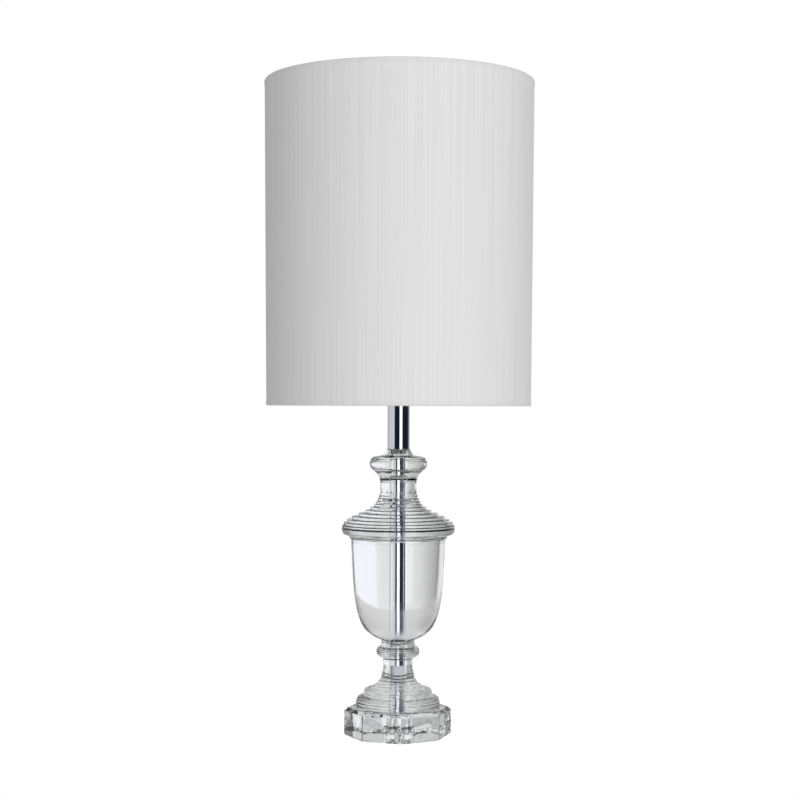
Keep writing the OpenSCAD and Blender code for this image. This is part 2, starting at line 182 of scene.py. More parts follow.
bpy.context.scene.world = studio_world()
key_data = bpy.data.lights.new("key", "AREA")
key_data.shape = "RECTANGLE"
key_data.size = KEY_SIZE
key_data.size_y = KEY_SIZE
key_data.energy = KEY_POWER
key = bpy.data.objects.new("key", key_data)
key.location = (KEY_DISTANCE * math.sin(KEY_TURN), -KEY_DISTANCE * math.cos(KEY_TURN), KEY_HEIGHT)
key.rotation_euler = (Vector((0, 0, 0.5)) - Vector(key.location)).to_track_quat("-Z", "Y").to_euler()
key.visible_camera = False
key.visible_glossy = False
key.visible_transmission = False
bpy.context.scene.collection.objects.link(key)


def floor_paper():
    """Matt white paper, lit from behind so that it stays pale, and thin enough for the crystal's
    bent light to come through it from the room."""
    paper = bpy.data.materials.new("floor_paper")
    paper.use_nodes = True
    add, join = node_tools(paper.node_tree)
    shader = paper.node_tree.nodes["Principled BSDF"]
    grain = add("ShaderNodeTexNoise")
    grain.inputs["Scale"].default_value = 60
    tone = add("ShaderNodeValToRGB")
    ramp_stops(tone.color_ramp, [(0.3, 0.86), (0.7, 0.88)])
    join(grain.outputs["Fac"], tone.inputs[0])
    join(tone.outputs[0], shader.inputs["Base Color"])
    shader.inputs["Roughness"].default_value = 0.9
    shader.inputs["Specular IOR Level"].default_value = 0
    shader.inputs["Emission Color"].default_value = (1, 1, 1, 1)
    path = add("ShaderNodeLightPath")
    glow = add("ShaderNodeMapRange")
    glow.inputs["To Min"].default_value = 0.25
    glow.inputs["To Max"].default_value = 0.85
    join(path.outputs["Is Camera Ray"], glow.inputs["Value"])
    join(glow.outputs[0], shader.inputs["Emission Strength"])
    cover = add("ShaderNodeMapRange")
    cover.inputs["To Min"].default_value = 1
    cover.inputs["To Max"].default_value = 0.25
    join(path.outputs["Is Transmission Ray"], cover.inputs["Value"])
    join(cover.outputs[0], shader.inputs["Alpha"])
    return paper


bpy.ops.object.select_all(action="DESELECT")
bpy.ops.mesh.primitive_circle_add(vertices=96, radius=FLOOR_R, fill_type="NGON", location=(0, 0, 0))
floor = bpy.context.object
floor.name = "floor"
floor.data.materials.append(floor_paper())


# Plinth: an octagonal block of clear crystal, sawn and polished, with every edge bevelled. It is
# counterbored from below for the rod's nut, and a groove leads the cord out through a rear face.
CRYSTAL_IOR = 1.53


def crystal_glass(name, dark, light, ripple_scale, ripple_depth):
    """Clear polished crystal with a faint cast, ripples left by pressing, and polishing haze."""
    glass = bpy.data.materials.new(name)
    glass.use_nodes = True
    add, join = node_tools(glass.node_tree)
    shader = glass.node_tree.nodes["Principled BSDF"]
    place = add("ShaderNodeTexCoord")
    cast = add("ShaderNodeTexNoise")
    cast.inputs["Scale"].default_value = 18
    join(place.outputs["Object"], cast.inputs["Vector"])
    tone = add("ShaderNodeValToRGB")
    ramp_stops(tone.color_ramp, [(0.35, dark), (0.65, light)])
    join(cast.outputs["Fac"], tone.inputs[0])
    join(tone.outputs[0], shader.inputs["Base Color"])
    haze = add("ShaderNodeTexNoise")
    haze.inputs["Scale"].default_value = 90
    haze.inputs["Detail"].default_value = 3
    join(place.outputs["Object"], haze.inputs["Vector"])
    rough = add("ShaderNodeMapRange")
    rough.inputs["To Min"].default_value = 0.0
    rough.inputs["To Max"].default_value = 0.022
    join(haze.outputs["Fac"], rough.inputs["Value"])
    join(rough.outputs[0], shader.inputs["Roughness"])
    ripple = add("ShaderNodeTexNoise")
    ripple.inputs["Scale"].default_value = ripple_scale
    ripple.inputs["Detail"].default_value = 1
    join(place.outputs["Object"], ripple.inputs["Vector"])
    bump = add("ShaderNodeBump")
    bump.inputs["Strength"].default_value = 0.3
    bump.inputs["Distance"].default_value = ripple_depth
    join(ripple.outputs["Fac"], bump.inputs["Height"])
    join(bump.outputs[0], shader.inputs["Normal"])
    shader.inputs["Transmission Weight"].default_value = 1
    shader.inputs["IOR"].default_value = CRYSTAL_IOR
    return glass


crystal = crystal_glass("crystal_pressed", (0.955, 0.972, 0.966), (0.975, 0.985, 0.982), 110, 0.0012)
BORE_R = 6.5 * MM
POCKET_R = 12 * MM
POCKET_DEPTH = 12 * MM
PLINTH_TURN = math.radians(4.6)
GROOVE_W = 10 * MM
GROOVE_L = 70 * MM
GROOVE_Z = 5.6 * MM
GROOVE_DROP = 8 * MM
CORNER_CUT = 1.44 * MM
RIM_CUT = 2.4 * MM
UNDER_CUT = 1.1 * MM
ARRIS = 0.25 * MM
PLINTH_R = 60.5 * MM


def edit(piece):
    """Opens a piece for mesh work, on its own and with nothing of it selected."""
    bpy.ops.object.select_all(action="DESELECT")
    piece.select_set(True)
    bpy.context.view_layer.objects.active = piece
    bpy.ops.object.mode_set(mode="EDIT")
    bpy.ops.mesh.select_all(action="DESELECT")
    bpy.ops.object.mode_set(mode="OBJECT")


def pick(piece, kind, test):
    """Selects the vertices, edges or faces of a piece that pass a test, then goes back to editing."""
    edit(piece)
    mesh = piece.data
    if kind == "VERT":
        chosen = [v for v in mesh.vertices if test(v.co)]
    elif kind == "EDGE":
        chosen = [e for e in mesh.edges if test(*(mesh.vertices[i].co for i in e.vertices))]
    else:
        chosen = [p for p in mesh.polygons if test(p.center, p.normal)]
    for part in chosen:
        part.select = True
    bpy.ops.object.mode_set(mode="EDIT")
    bpy.ops.mesh.select_mode(type=kind)


def settle(piece, smooth_angle=30):
    """Applies a piece's place, points its faces outwards and smooths it up to an angle."""
    if bpy.context.mode != "OBJECT":
        bpy.ops.object.mode_set(mode="OBJECT")
    bpy.ops.object.select_all(action="DESELECT")
    piece.select_set(True)
    bpy.context.view_layer.objects.active = piece
    bpy.ops.object.transform_apply(location=True, rotation=True, scale=True)
    bpy.ops.object.mode_set(mode="EDIT")
    bpy.ops.mesh.select_all(action="SELECT")
    bpy.ops.mesh.remove_doubles(threshold=1e-6)
    bpy.ops.mesh.normals_make_consistent(inside=False)
    bpy.ops.object.mode_set(mode="OBJECT")
    bpy.ops.object.shade_smooth_by_angle(angle=math.radians(smooth_angle))
    return piece


def apply_modifier(piece, kind, **values):
    """Adds one modifier with its settings and applies it."""
    bpy.ops.object.select_all(action="DESELECT")
    piece.select_set(True)
    bpy.context.view_layer.objects.active = piece
    modifier = piece.modifiers.new(kind.lower(), kind)
    for key, value in values.items():
        setattr(modifier, key, value)
    bpy.ops.object.modifier_apply(modifier=modifier.name)


def dress(piece, material, body, slot, *nodes):
    """Gives a piece its material and its body, and hides the CAD nodes that it stands in for. The slot is
    not used.
    """
    piece.data.materials.clear()
    piece.data.materials.append(material)
    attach(piece, body)
    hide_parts(*nodes)
    return piece


low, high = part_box("plinth")
bpy.ops.object.select_all(action="DESELECT")
bpy.ops.mesh.primitive_cylinder_add(
    vertices=8, radius=PLINTH_R, depth=high.z - low.z - RIM_CUT - UNDER_CUT,
    location=(0, 0, (low.z + UNDER_CUT + high.z - RIM_CUT) / 2),
    rotation=(0, 0, PLINTH_TURN + math.radians(45)))
plinth = settle(bpy.context.object, 20)
plinth.name = "plinth_block"
pick(plinth, "EDGE", lambda a, b: abs(a.z - b.z) > 0.01)
bpy.ops.mesh.bevel(offset=CORNER_CUT, offset_type="WIDTH", segments=1, affect="EDGES")
bpy.ops.object.mode_set(mode="OBJECT")
for facing, cut in ((1, RIM_CUT), (-1, UNDER_CUT)):
    pick(plinth, "FACE", lambda centre, normal: normal.z * facing > 0.9)
    bpy.ops.mesh.inset(thickness=cut, depth=cut)
    bpy.ops.object.mode_set(mode="OBJECT")
settle(plinth, 20)


def cut_away(piece, cutter):
    """Cuts a closed cutter out of a piece."""
    apply_modifier(piece, "BOOLEAN", object=cutter, operation="DIFFERENCE", solver="EXACT")
    bpy.data.objects.remove(cutter)


def round_cutter(radius, start, end):
    """An upright round cutter on the lamp's axis, between two heights."""
    bpy.ops.object.select_all(action="DESELECT")
    bpy.ops.mesh.primitive_cylinder_add(vertices=96, radius=radius, depth=end - start,
                                        location=(0, 0, (start + end) / 2))
    return settle(bpy.context.object)


cut_away(plinth, round_cutter(POCKET_R, low.z - MM, low.z + POCKET_DEPTH))
cut_away(plinth, round_cutter(BORE_R, low.z - MM, high.z + MM))
bpy.ops.object.select_all(action="DESELECT")
bpy.ops.mesh.primitive_cylinder_add(vertices=48, radius=GROOVE_W / 2, depth=GROOVE_L,
                                    location=(0, 0, 0), rotation=(math.radians(90), 0, 0))
groove = settle(bpy.context.object)
pick(groove, "VERT", lambda co: co.z < -0.0001)
bpy.ops.transform.translate(value=(0, 0, -GROOVE_DROP))
bpy.ops.object.mode_set(mode="OBJECT")
turn = PLINTH_TURN - math.radians(22.5)
groove.location = (-GROOVE_L / 2 * math.sin(turn), GROOVE_L / 2 * math.cos(turn), GROOVE_Z)
groove.rotation_euler = (0, 0, turn)
cut_away(plinth, settle(groove))
apply_modifier(plinth, "BEVEL", width=ARRIS, segments=2, limit_method="ANGLE",
               angle_limit=math.radians(25))
settle(plinth, 12)
dress(plinth, crystal, "base", "crystal", "plinth")


# Foot and stem: one turned crystal piece. Shallow ribs are polished all the way up the foot, and the
# stem above it narrows in a hollow curve. It stands on the plinth on a thin clear washer.
def draw_line(name, points):
    """A line through some points, drawn from one to the next, and left open for editing."""
    bpy.ops.object.select_all(action="DESELECT")
    bpy.ops.mesh.primitive_plane_add(size=0.01, location=(0, 0, 0))
    piece = bpy.context.object
    piece.name = name
    bpy.ops.object.mode_set(mode="EDIT")
    bpy.ops.mesh.select_mode(type="VERT")
    bpy.ops.mesh.merge(type="CENTER")
    bpy.ops.transform.translate(value=points[0])
    for here, there in zip(points, points[1:]):
        step = Vector(there) - Vector(here)
        bpy.ops.mesh.extrude_region_move(TRANSFORM_OT_translate={"value": step})
    bpy.ops.mesh.select_all(action="SELECT")
    return piece


def turned(name, outline, steps=160):
    """A closed outline of (radius, height) points, drawn and spun right round the lamp's axis."""
    piece = draw_line(name, [(r, 0, z) for r, z in outline + outline[:1]])
    bpy.ops.mesh.remove_doubles(threshold=1e-7)
    bpy.ops.mesh.select_all(action="SELECT")
    bpy.ops.mesh.spin(steps=steps, angle=2 * math.pi, center=(0, 0, 0), axis=(0, 0, 1))
    return settle(piece)


def smooth(points, steps=6):
    """A smooth curve through a few (radius, height) points."""
    ends = [points[0]] + points + [points[-1]]
    curve = []
    for a, b, c, d in zip(ends, ends[1:], ends[2:], ends[3:]):
        for i in range(steps):
            t = i / steps
            curve.append(tuple(
                0.5 * (2 * q + (r - p) * t + (2 * p - 5 * q + 4 * r - s) * t ** 2
                       + (3 * q - p - 3 * r + s) * t ** 3) for p, q, r, s in zip(a, b, c, d)))
    return curve + [points[-1]]


def bored(outline):
    """Closes an outer outline along the bore, with the bore's edges broken."""
    low, high = outline[0][1], outline[-1][1]
    edge = 0.35 * MM
    return ([(BORE_R, low + edge), (BORE_R + edge, low)] + outline
            + [(BORE_R + edge, high), (BORE_R, high - edge)])


low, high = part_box("foot_stem")
STEM_R = 16.2 * MM
# outline from below, as (radius, height) in mm, the height measured from the underside
FOOT_CURVE = [(46.6, 0), (47.5, 1.2), (47.4, 4), (46.9, 7.6), (45.2, 11), (41.2, 12.8), (38.9, 14.8),
              (38.5, 17.6), (36.6, 20.4), (30.6, 22.2), (26, 24.8), (22.6, 27.8), (19.4, 32.6)]


def millimetres(points, base):
    """Points given in mm above a base, in metres."""
    return [(r * MM, base + z * MM) for r, z in points]


def scalloped(curve, count, depth):
    """A curve with a row of shallow rounded ribs along it, and a fine groove between them."""
    lengths = [0]
    for (r, z), (s, t) in zip(curve, curve[1:]):
        lengths.append(lengths[-1] + math.hypot(s - r, t - z))
    points, place = [], 0
    steps = 6
    for i in range(count * steps + 1):
        along = lengths[-1] * i / (count * steps)
        while place < len(curve) - 2 and lengths[place + 1] < along:
            place += 1
        (r, z), (s, t) = curve[place:place + 2]
        span = lengths[place + 1] - lengths[place]
        share = (along - lengths[place]) / span
        dip = depth * (1 - abs(math.sin(math.pi * i / steps)))
        points.append((r + share * (s - r) - dip * (t - z) / span,
                       z + share * (t - z) + dip * (s - r) / span))
    return points


FOOT_RIBS = 13
FOOT_RIB_DEPTH = 0.6 * MM
rings = scalloped(smooth(millimetres(FOOT_CURVE, low.z)), FOOT_RIBS, FOOT_RIB_DEPTH)
rings[0] = (rings[0][0], low.z)
stem = smooth([(STEM_R + 2 * MM, high.z - 17 * MM), (STEM_R + 0.8 * MM, high.z - 12 * MM),
               (STEM_R, high.z - 7 * MM), (STEM_R + 0.6 * MM, high.z)])
foot_stem = turned("foot_and_stem", bored(rings + stem))
dress(foot_stem, crystal, "base", "crystal", "foot_stem")


# Knop: a small crystal cushion with faint ribs and a collar, turned in one piece. It sits on the stem
# and carries the bowl, with a clear washer in each joint.
def arc(r, z, radius, start, end, steps):
    """Points of an arc about (r, z), by angles in degrees."""
    angles = [math.radians(start + (end - start) * i / steps) for i in range(steps + 1)]
    return [(r + radius * math.cos(a), z + radius * math.sin(a)) for a in angles]


def nose(r, low, high, depth, steps):
    """A rounded ring edge that reaches radius r between two heights and falls back by depth."""
    middle, half = (low + high) / 2, (high - low) / 2
    angles = [math.radians(-84 + 168 * i / steps) for i in range(steps + 1)]
    return [(r - depth + depth * math.cos(a), middle + half * math.sin(a)) for a in angles]


low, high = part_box("knop")
KNOP_R = high.x
collar_z = high.z - 6 * MM
KNOP_RIBS = 7
knop = turned("knop_turned", bored(
    [(STEM_R - 0.6 * MM, low.z), (STEM_R - 0.4 * MM, low.z + 1.4 * MM)]
    + scalloped(nose(KNOP_R, low.z + 2 * MM, low.z + 13.8 * MM, 4.6 * MM, 16), KNOP_RIBS, 0.3 * MM)
    + [(STEM_R + 2.6 * MM, collar_z + 1.2 * MM)]
    + arc(STEM_R + 1.4 * MM, high.z - 0.8 * MM, 0.8 * MM, 0, 90, 4)))
dress(knop, crystal, "base", "crystal", "knop")


# Bowl: the heart of the column, a heavy solid crystal cup shape, turned and polished all over. Its
# walls are nearly upright at the top and round in at the bottom. Only the rod's bore goes through it.
low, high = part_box("bowl")
BOWL_R = high.x
BOWL_H = high.z - low.z
BOWL_SHAPE = [(0.36, 0.0), (0.55, 0.045), (0.73, 0.123), (0.845, 0.25), (0.91, 0.4), (0.955, 0.62),
              (0.995, 0.975)]
clear_crystal = crystal_glass("crystal_clear", (0.972, 0.974, 0.985), (0.982, 0.984, 0.992), 45, 0.0006)
bowl = turned("bowl_turned", bored(
    smooth([(BOWL_R * r, low.z + BOWL_H * h) for r, h in BOWL_SHAPE], 10)
    + arc(BOWL_R - 1.2 * MM, high.z - 1.2 * MM, 1.2 * MM, 10, 90, 5)), 192)
dress(bowl, clear_crystal, "base", "crystal", "bowl")


# Lid: turned crystal with a ribbed rim that overhangs the bowl, a shoulder of small stepped rings, and
# a waisted neck. It rests on the bowl on a clear washer.
def step(r, low, high, edge):
    """One straight ring with its upper and lower edges rounded."""
    return arc(r - edge, low + edge, edge, -80, 0, 4) + arc(r - edge, high - edge, edge, 0, 80, 4)


low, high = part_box("lid")
NECK_R = 20.3 * MM
RIM_RIBS = 3
RIM_CURVE = [(56.5, 3.2), (60.6, 4.2), (62.8, 6.4), (63.6, 10), (63.4, 12)]
# rings that step in over the shoulder: radius and height in mm
SHOULDER_RINGS = [(63.3, 2.6), (61.5, 3.2), (57.6, 3.4), (52.4, 3.4), (45, 3.4), (37.2, 3.4), (31.6, 3.4),
                  (27.4, 3.4), (24.8, 3.5), (23, 3.4), (21.8, 3.4)]
outline = [(BOWL_R + 1.4 * MM, low.z)] + arc(BOWL_R + 1.2 * MM, low.z + 1.2 * MM, 0.8 * MM, -60, 60, 4)
outline += scalloped(smooth(millimetres(RIM_CURVE, low.z)), RIM_RIBS, 0.3 * MM)
ring_low = low.z + 12 * MM
for r, height in SHOULDER_RINGS:
    outline += step(r * MM, ring_low + 0.15 * MM, ring_low + height * MM, 0.5 * MM)
    ring_low += height * MM
outline += smooth([(NECK_R + 0.6 * MM, low.z + 48.5 * MM), (NECK_R, high.z - 12 * MM),
                   (NECK_R + 0.1 * MM, high.z - 5 * MM), (NECK_R + 1.1 * MM, high.z)])
lid = turned("lid_turned", bored(outline), 192)
dress(lid, crystal, "base", "crystal", "lid")


# Knob: the top crystal piece, turned with a flared foot, a fat bead and a shoulder. The clamped neck
# tube presses it down on the lid, with a clear washer above it and below it.
low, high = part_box("knob")
KNOB_R = high.x
KNOB_FOOT = [(21.4, 0), (22.6, 2.4), (24.4, 4.6), (27.6, 7.4)]
KNOB_SHOULDER = [(22.6, 24.2), (17.6, 25.2), (16, 26.6), (15, 28.6), (13.6, 30.8), (13.4, 31.5)]
knob = turned("knob_turned", bored(
    smooth(millimetres(KNOB_FOOT, low.z))
    + nose(KNOB_R, low.z + 7.6 * MM, low.z + 23.8 * MM, 6.5 * MM, 18)
    + smooth(millimetres(KNOB_SHOULDER, low.z))))
dress(knob, crystal, "base", "crystal", "knob")


# Clear soft plastic: the washer in each joint of the column, the pads under the plinth and the
# bush in the cord groove. All are cut or moulded from slightly cloudy vinyl.
def finish(name, dark, light, scale, rough, relief=0, metallic=0, stretch=(1, 1, 1), **sockets):
    """A surface whose colour, roughness and fine relief follow one noise in the piece's own metres."""
    surface = bpy.data.materials.new(name)
    surface.use_nodes = True
    add, join = node_tools(surface.node_tree)
    shader = surface.node_tree.nodes["Principled BSDF"]
    place = add("ShaderNodeTexCoord")
    pull = add("ShaderNodeMapping")
    pull.inputs["Scale"].default_value = [scale * part for part in stretch]
    join(place.outputs["Object"], pull.inputs["Vector"])
    noise = add("ShaderNodeTexNoise")
    noise.inputs["Scale"].default_value = 1
    noise.inputs["Detail"].default_value = 4
    join(pull.outputs[0], noise.inputs["Vector"])
    tone = add("ShaderNodeValToRGB")
    ramp_stops(tone.color_ramp, [(0.3, dark), (0.7, light)])
    join(noise.outputs["Fac"], tone.inputs[0])
    join(tone.outputs[0], shader.inputs["Base Color"])
    gloss = add("ShaderNodeMapRange")
    gloss.inputs["To Min"].default_value, gloss.inputs["To Max"].default_value = rough
    join(noise.outputs["Fac"], gloss.inputs["Value"])
    join(gloss.outputs[0], shader.inputs["Roughness"])
    bump = add("ShaderNodeBump")
    bump.inputs["Strength"].default_value = 0.5
    bump.inputs["Distance"].default_value = relief
    join(noise.outputs["Fac"], bump.inputs["Height"])
    join(bump.outputs[0], shader.inputs["Normal"])
    shader.inputs["Metallic"].default_value = metallic
    for socket, value in sockets.items():
        shader.inputs[socket.replace("_", " ")].default_value = value
    return surface


def softened(node, name, width):
    """A copy of a CAD node with its flat faces joined up again and its sharp edges rounded off."""
    piece = bpy.data.objects.new(name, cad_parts[node].data.copy())
    bpy.context.scene.collection.objects.link(piece)
    edit(piece)
    bpy.ops.object.mode_set(mode="EDIT")
    bpy.ops.mesh.select_all(action="SELECT")
    bpy.ops.mesh.remove_doubles(threshold=1e-6)
    bpy.ops.mesh.dissolve_limited(angle_limit=math.radians(1))
    bpy.ops.object.mode_set(mode="OBJECT")
    apply_modifier(piece, "BEVEL", width=width, segments=2, limit_method="ANGLE",
                   angle_limit=math.radians(45))
    return settle(piece, 35)


def finish_cad(material, *nodes):
    """Gives CAD nodes that keep their own shape a material."""
    for name in nodes:
        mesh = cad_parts[name].data
        mesh.materials.clear()
        mesh.materials.append(material)


vinyl = finish("cloudy_vinyl", (0.82, 0.84, 0.84), (0.9, 0.915, 0.915), 140, (0.15, 0.35), 0.00005,
               Transmission_Weight=0.5, IOR=1.5)
finish_cad(vinyl, "clear_washers")
dress(softened("feet", "foot_pads", 0.3 * MM), vinyl, "base", "clear_plastic", "feet")
dress(softened("cord_bush", "cord_bush_moulding", 0.3 * MM), vinyl, "base", "clear_plastic", "cord_bush")


# Chrome: the steel sleeve over the tie rod, seen through the crystal, and the neck tube with its
# turned cap. All are polished and plated, with faint wiping marks.
chrome = finish("chrome_plate", (0.77, 0.80, 0.85), (0.82, 0.85, 0.90), 1, (0.02, 0.06),
                metallic=1, stretch=(160, 160, 30))


def tube(name, r_out, r_in, low, high):
    """A round tube with its end edges broken."""
    edge = 0.3 * MM
    return turned(name, [
        (r_in, low + edge), (r_in + edge, low), (r_out - edge, low), (r_out, low + edge),
        (r_out, high - edge), (r_out - edge, high), (r_in + edge, high), (r_in, high - edge)], 128)


SLEEVE_BORE_R = 5.1 * MM
low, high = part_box("rod_sleeve")
sleeve = tube("rod_sleeve_tube", high.x, SLEEVE_BORE_R, low.z, high.z)
dress(sleeve, chrome, "base", "chrome", "rod_sleeve")
low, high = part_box("neck_tube")
neck = tube("neck_tube_chrome", high.x, high.x - MM, low.z, high.z)
dress(neck, chrome, "base", "chrome", "neck_tube")
dress(softened("neck_cap", "neck_cap_turning", 0.5 * MM), chrome, "base", "chrome", "neck_cap")


# Tie rod and its clamp: a hollow threaded steel rod that carries the cord, with a rubber and a steel
# washer and a nut in the plinth, a disc inside the neck tube, and a lock nut on the cap.
zinc = finish("zinc_plate", (0.60, 0.61, 0.62), (0.74, 0.75, 0.76), 500, (0.22, 0.42), 0.00003, 1)
brass = finish("raw_brass", (0.56, 0.42, 0.20), (0.74, 0.58, 0.30), 350, (0.2, 0.4), 0.00003, 1)
rubber = finish("black_rubber", (0.012, 0.012, 0.013), (0.03, 0.03, 0.032), 600, (0.6, 0.85), 0.0001)
THREAD_PITCH = MM


def thread(crest, root, start, end, pitch):
    """Zigzag outline of a thread, from one height to another."""
    count = max(1, round((end - start) / pitch))
    step = (end - start) / count
    points = []
    for i in range(count):
        z = start + i * step
        points += [(root, z), (root, z + 0.1 * step), (crest, z + 0.45 * step), (crest, z + 0.65 * step)]
    return points + [(root, end)]


low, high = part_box("tie_rod")
ROD_R = high.x
ROD_BORE = 3.4 * MM
rod = turned("tie_rod_threaded", [
    (ROD_BORE, low.z + 0.4 * MM), (ROD_BORE + 0.4 * MM, low.z)]
    + thread(ROD_R, ROD_R - 0.55 * MM, low.z, low.z + 14 * MM, THREAD_PITCH)
    + thread(ROD_R, ROD_R - 0.55 * MM, high.z - 30 * MM, high.z, THREAD_PITCH)
    + [(ROD_BORE + 0.4 * MM, high.z), (ROD_BORE, high.z - 0.4 * MM)], 48)
dress(rod, zinc, "base", "zinc_steel", "tie_rod")
dress(softened("rubber_washer", "rubber_washer_disc", 0.3 * MM), rubber, "base", "black_rubber",
      "rubber_washer")
dress(softened("steel_washer", "steel_washer_disc", 0.15 * MM), zinc, "base", "zinc_steel", "steel_washer")
dress(softened("rod_nut", "rod_nut_hex", 0.3 * MM), zinc, "base", "zinc_steel", "rod_nut")
dress(softened("neck_base_disc", "neck_disc_turning", 0.2 * MM), brass, "base", "brass", "neck_base_disc")
dress(softened("lock_nut", "lock_nut_hex", 0.3 * MM), brass, "base", "brass", "lock_nut")


# Lampholder: a moulded cap screwed on the rod, a shell with an outside thread for the shade rings, a
# ceramic insert with its screws, a rolled brass screw shell, and a sprung contact strip.
plastic = finish("holder_plastic", (0.80, 0.80, 0.78), (0.86, 0.86, 0.84), 420, (0.28, 0.42), 0.00004)
ceramic = finish("glazed_ceramic", (0.78, 0.76, 0.70), (0.86, 0.84, 0.79), 260, (0.12, 0.3), 0.0001)
low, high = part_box("holder_shell")
SHELL_R = high.x
SHELL_WALL = 1.6 * MM
LIP_R = 15 * MM
shell = turned("holder_shell_threaded", [
    (SHELL_R - SHELL_WALL, low.z), (SHELL_R - 0.2 * MM, low.z), (SHELL_R, low.z + 0.2 * MM),
    (SHELL_R, low.z + 2.4 * MM)]
    + thread(SHELL_R, SHELL_R - 0.8 * MM, low.z + 2.6 * MM, high.z - 1.4 * MM, 2.6 * MM)
    + [(SHELL_R - 0.8 * MM, high.z - 0.5 * MM), (SHELL_R - 1.3 * MM, high.z), (LIP_R + 0.3 * MM, high.z),
       (LIP_R, high.z - 0.3 * MM), (LIP_R, high.z - 0.9 * MM), (LIP_R + 0.1 * MM, high.z - MM),
       (SHELL_R - SHELL_WALL, high.z - MM)], 96)
dress(shell, plastic, "base", "holder_plastic", "holder_shell")
dress(softened("holder_cap", "holder_cap_moulding", 0.4 * MM), plastic, "base", "holder_plastic",
      "holder_cap")
dress(softened("holder_insert", "holder_insert_ceramic", 0.4 * MM), ceramic, "base", "ceramic_insert",
      "holder_insert")
dress(softened("terminal_screws", "terminal_screws_pair", 0.15 * MM), zinc, "base", "zinc_steel",
      "terminal_screws")
dress(softened("centre_contact", "centre_contact_strip", 0.1 * MM), brass, "base", "brass",
      "centre_contact")
low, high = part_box("screw_shell")
SCREW_R = high.x
SCREW_WALL = 0.35 * MM
BULB_PITCH = 3.63 * MM


def rolled_wall(mean, swing, wall, start, end, pitch):
    """Outline of a thin wall rolled into a wave: up its outside and back down its inside."""
    count = 8 * round((end - start) / pitch)
    heights = [start + (end - start) * i / count for i in range(count + 1)]
    wave = [mean + swing * math.cos(2 * math.pi * (z - start) / pitch) for z in heights]
    return ([(r + wall / 2, z) for r, z in zip(wave, heights)]
            + [(r - wall / 2, z) for r, z in reversed(list(zip(wave, heights)))])


screw = turned("screw_shell_rolled", rolled_wall(
    SCREW_R - SCREW_WALL / 2 - 0.14 * MM, 0.14 * MM, SCREW_WALL, low.z, high.z, BULB_PITCH), 96)
dress(screw, brass, "base", "brass", "screw_shell")


# Shade rings: two rings moulded in the holder's plastic, with grip notches. They screw on the holder's
# thread, one under the shade's hub and one over it.
dress(softened("lower_shade_ring", "lower_ring_moulding", 0.35 * MM), plastic, "base", "holder_plastic",
      "lower_shade_ring")
dress(softened("upper_shade_ring", "upper_ring_moulding", 0.35 * MM), plastic, "clamp_ring",
      "holder_plastic", "upper_shade_ring")


# Shade frame: a pressed hub with three wire arms welded to it, and a wire ring in each edge of the
# shade, all in white enamel.
enamel = finish("white_enamel", (0.80, 0.80, 0.79), (0.87, 0.87, 0.86), 320, (0.25, 0.45), 0.00008)
dress(softened("shade_hub", "shade_hub_pressing", 0.3 * MM), enamel, "shade", "white_enamel", "shade_hub")
dress(softened("shade_arms", "shade_arm_wires", 0.1 * MM), enamel, "shade", "white_enamel", "shade_arms")
for node in ("bottom_wire_ring", "top_wire_ring"):
    low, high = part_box(node)
    wire_r = (high.z - low.z) / 2
    wire = turned(node + "_bent", arc(high.x - wire_r, low.z + wire_r, wire_r, 0, 342, 19), 192)
    dress(wire, enamel, "shade", "white_enamel", node)
liner = finish("shade_liner", (0.86, 0.86, 0.85), (0.91, 0.91, 0.90), 60, (0.5, 0.65), 0.00008,
               stretch=(1, 1, 0.3))
finish_cad(liner, "shade_liner")


# Bulb: an LED bulb with a nickel screw cap and black glass insulator, a white housing that tapers
# out to an opal dome, and inside it a board of emitters over a driver board.
nickel = finish("nickel_plate", (0.66, 0.65, 0.62), (0.78, 0.77, 0.74), 450, (0.16, 0.32), 0.00003, 1)
black_glass = finish("black_glass", (0.006, 0.006, 0.008), (0.014, 0.014, 0.018), 200, (0.04, 0.1))
bulb_white = finish("bulb_white", (0.82, 0.82, 0.81), (0.88, 0.88, 0.87), 380, (0.2, 0.34), 0.00004)
opal = finish("opal_dome", (0.86, 0.86, 0.84), (0.92, 0.92, 0.90), 220, (0.3, 0.42), 0.00004,
              Subsurface_Weight=0.3)
board_white = finish("board_white", (0.78, 0.78, 0.74), (0.86, 0.86, 0.83), 900, (0.4, 0.6), 0.00005)
board_green = finish("board_green", (0.05, 0.16, 0.08), (0.09, 0.24, 0.13), 900, (0.3, 0.5), 0.00008)
low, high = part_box("bulb_cap")
CAP_R = high.x
CAP_WALL = 0.4 * MM
bulb_cap = turned("bulb_cap_rolled", [(0.4 * CAP_R, low.z), (CAP_R - 0.9 * MM, low.z)]
                  + rolled_wall(CAP_R - CAP_WALL / 2 - 0.3 * MM, 0.3 * MM, CAP_WALL, low.z + 0.6 * MM,
                                high.z, BULB_PITCH)
                  + [(0.4 * CAP_R, low.z + 0.4 * MM)], 96)
dress(bulb_cap, nickel, "bulb", "nickel", "bulb_cap")
dress(softened("bulb_contact", "bulb_tip_contact", 0.3 * MM), nickel, "bulb_tip", "nickel", "bulb_contact")
dress(softened("bulb_insulator", "bulb_insulator_glass", 0.3 * MM), black_glass, "bulb", "black_glass",
      "bulb_insulator")
dress(softened("bulb_housing", "bulb_housing_moulding", 0.2 * MM), bulb_white, "bulb", "bulb_white",
      "bulb_housing")
dress(softened("bulb_diffuser", "bulb_dome_opal", 0.2 * MM), opal, "bulb", "opal", "bulb_diffuser")
dress(softened("led_board", "led_board_round", 0.1 * MM), board_white, "bulb", "board_white", "led_board")
dress(softened("driver_board", "driver_board_parts", 0.1 * MM), board_green, "bulb", "board_green",
      "driver_board")


